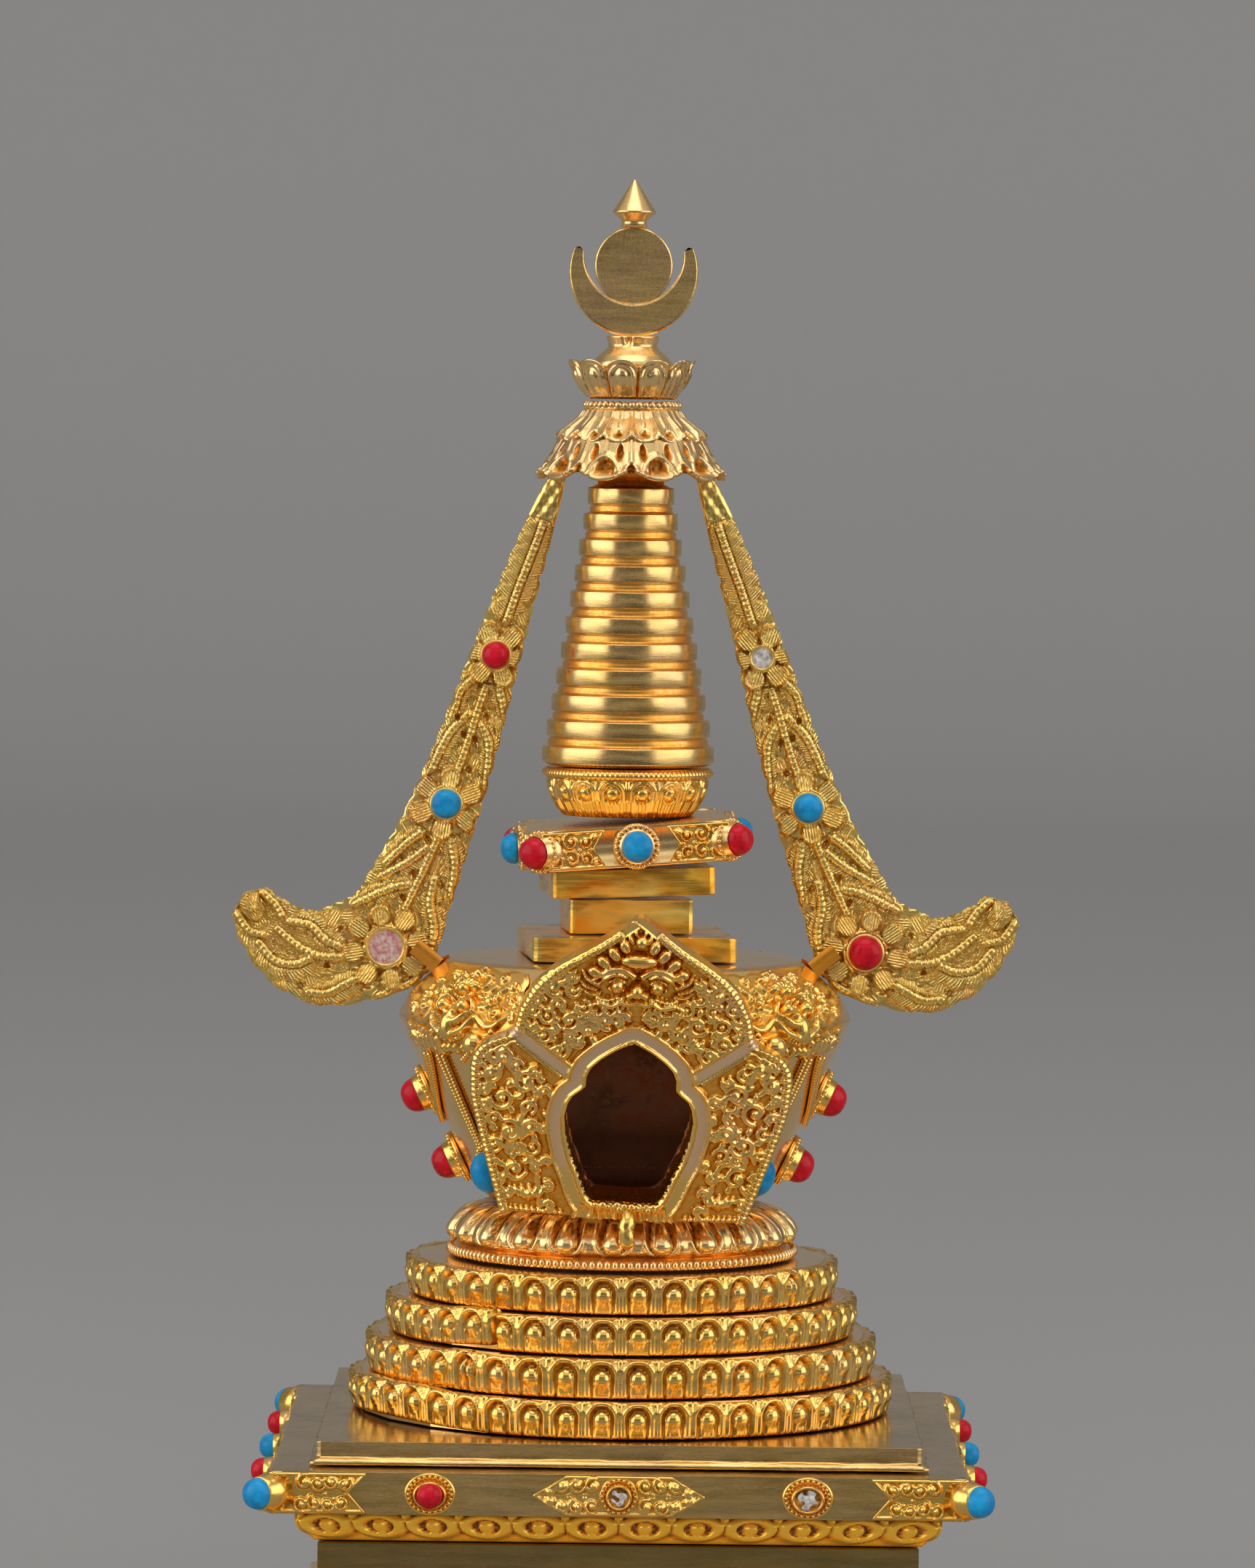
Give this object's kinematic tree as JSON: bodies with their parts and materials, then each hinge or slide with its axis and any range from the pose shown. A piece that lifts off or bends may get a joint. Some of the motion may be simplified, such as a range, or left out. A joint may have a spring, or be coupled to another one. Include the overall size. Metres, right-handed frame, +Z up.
{
  "type": "altar stupa",
  "caption": "Gilded copper altar stupa: stepped square base, hollow dome with a niche, ringed spire with canopy, and two side streamers set with cabochons.",
  "frame": {"origin": "under the middle of the base, on the surface it stands on", "axes": "+Z up the stupa's axis; the niche faces -Y; the streamers spread along X"},
  "size_m": [0.1206, 0.1112, 0.2287],
  "materials": {
    "gilt_polished": "polished fire gilding, scratched and worn",
    "gilt_cast": "cast and chased fire gilding, dark copper in the recesses",
    "bare_copper": "bare copper with rubbed gilding",
    "coral_red": "glossy red cabochon",
    "turquoise_blue": "glossy blue cabochon",
    "setting_residue": "dull grey setting paste where a stone is lost"
  },
  "bodies": {
    "root": {"base_slab": "gilt_polished", "base_lower_petals": "gilt_cast", "base_neck": "gilt_polished", "base_upper_petals": "gilt_cast", "base_cornice": "gilt_polished", "base_plinth": "gilt_polished", "step_1": "gilt_polished", "step_2": "gilt_polished", "step_3": "gilt_polished", "step_4": "gilt_polished", "step_petals_1": "gilt_cast", "step_petals_2": "gilt_cast", "step_petals_3": "gilt_cast", "step_petals_4": "gilt_cast", "dome_lotus": "gilt_cast", "dome": "gilt_polished", "niche_plaque": "gilt_cast", "mask_front_left": "gilt_cast", "mask_front_right": "gilt_cast", "mask_back_left": "gilt_cast", "mask_back_right": "gilt_cast", "garland_left": "gilt_cast", "garland_right": "gilt_cast", "garland_back": "gilt_cast", "jewel_left": "gilt_cast", "jewel_right": "gilt_cast", "jewel_back": "gilt_cast", "drop_front_left": "gilt_cast", "drop_front_right": "gilt_cast", "drop_back_left": "gilt_cast", "drop_back_right": "gilt_cast", "harmika_plinth": "gilt_polished", "harmika_neck": "gilt_polished", "harmika_step": "gilt_polished", "harmika_cornice": "gilt_cast", "harmika_stone_side_front": "turquoise_blue", "harmika_stone_side_right": "turquoise_blue", "harmika_stone_side_back": "turquoise_blue", "harmika_stone_side_left": "turquoise_blue", "harmika_stone_corner_front": "coral_red", "harmika_stone_corner_right": "coral_red", "harmika_stone_corner_back": "coral_red", "harmika_stone_corner_left": "coral_red", "spire_lotus": "gilt_cast", "spire": "gilt_polished", "canopy": "gilt_cast", "lotus_cup": "gilt_cast", "finial_cap": "gilt_polished", "crescent_moon": "gilt_polished", "sun_disc": "gilt_polished", "finial_jewel": "gilt_polished", "streamer_left": "gilt_cast", "streamer_right": "gilt_cast", "streamer_stone_left_1": "coral_red", "streamer_stone_left_2": "turquoise_blue", "streamer_stone_right_2": "turquoise_blue", "streamer_stone_right_3": "coral_red", "clip_left": "bare_copper", "clip_right": "bare_copper"}
  },
  "joints": []
}
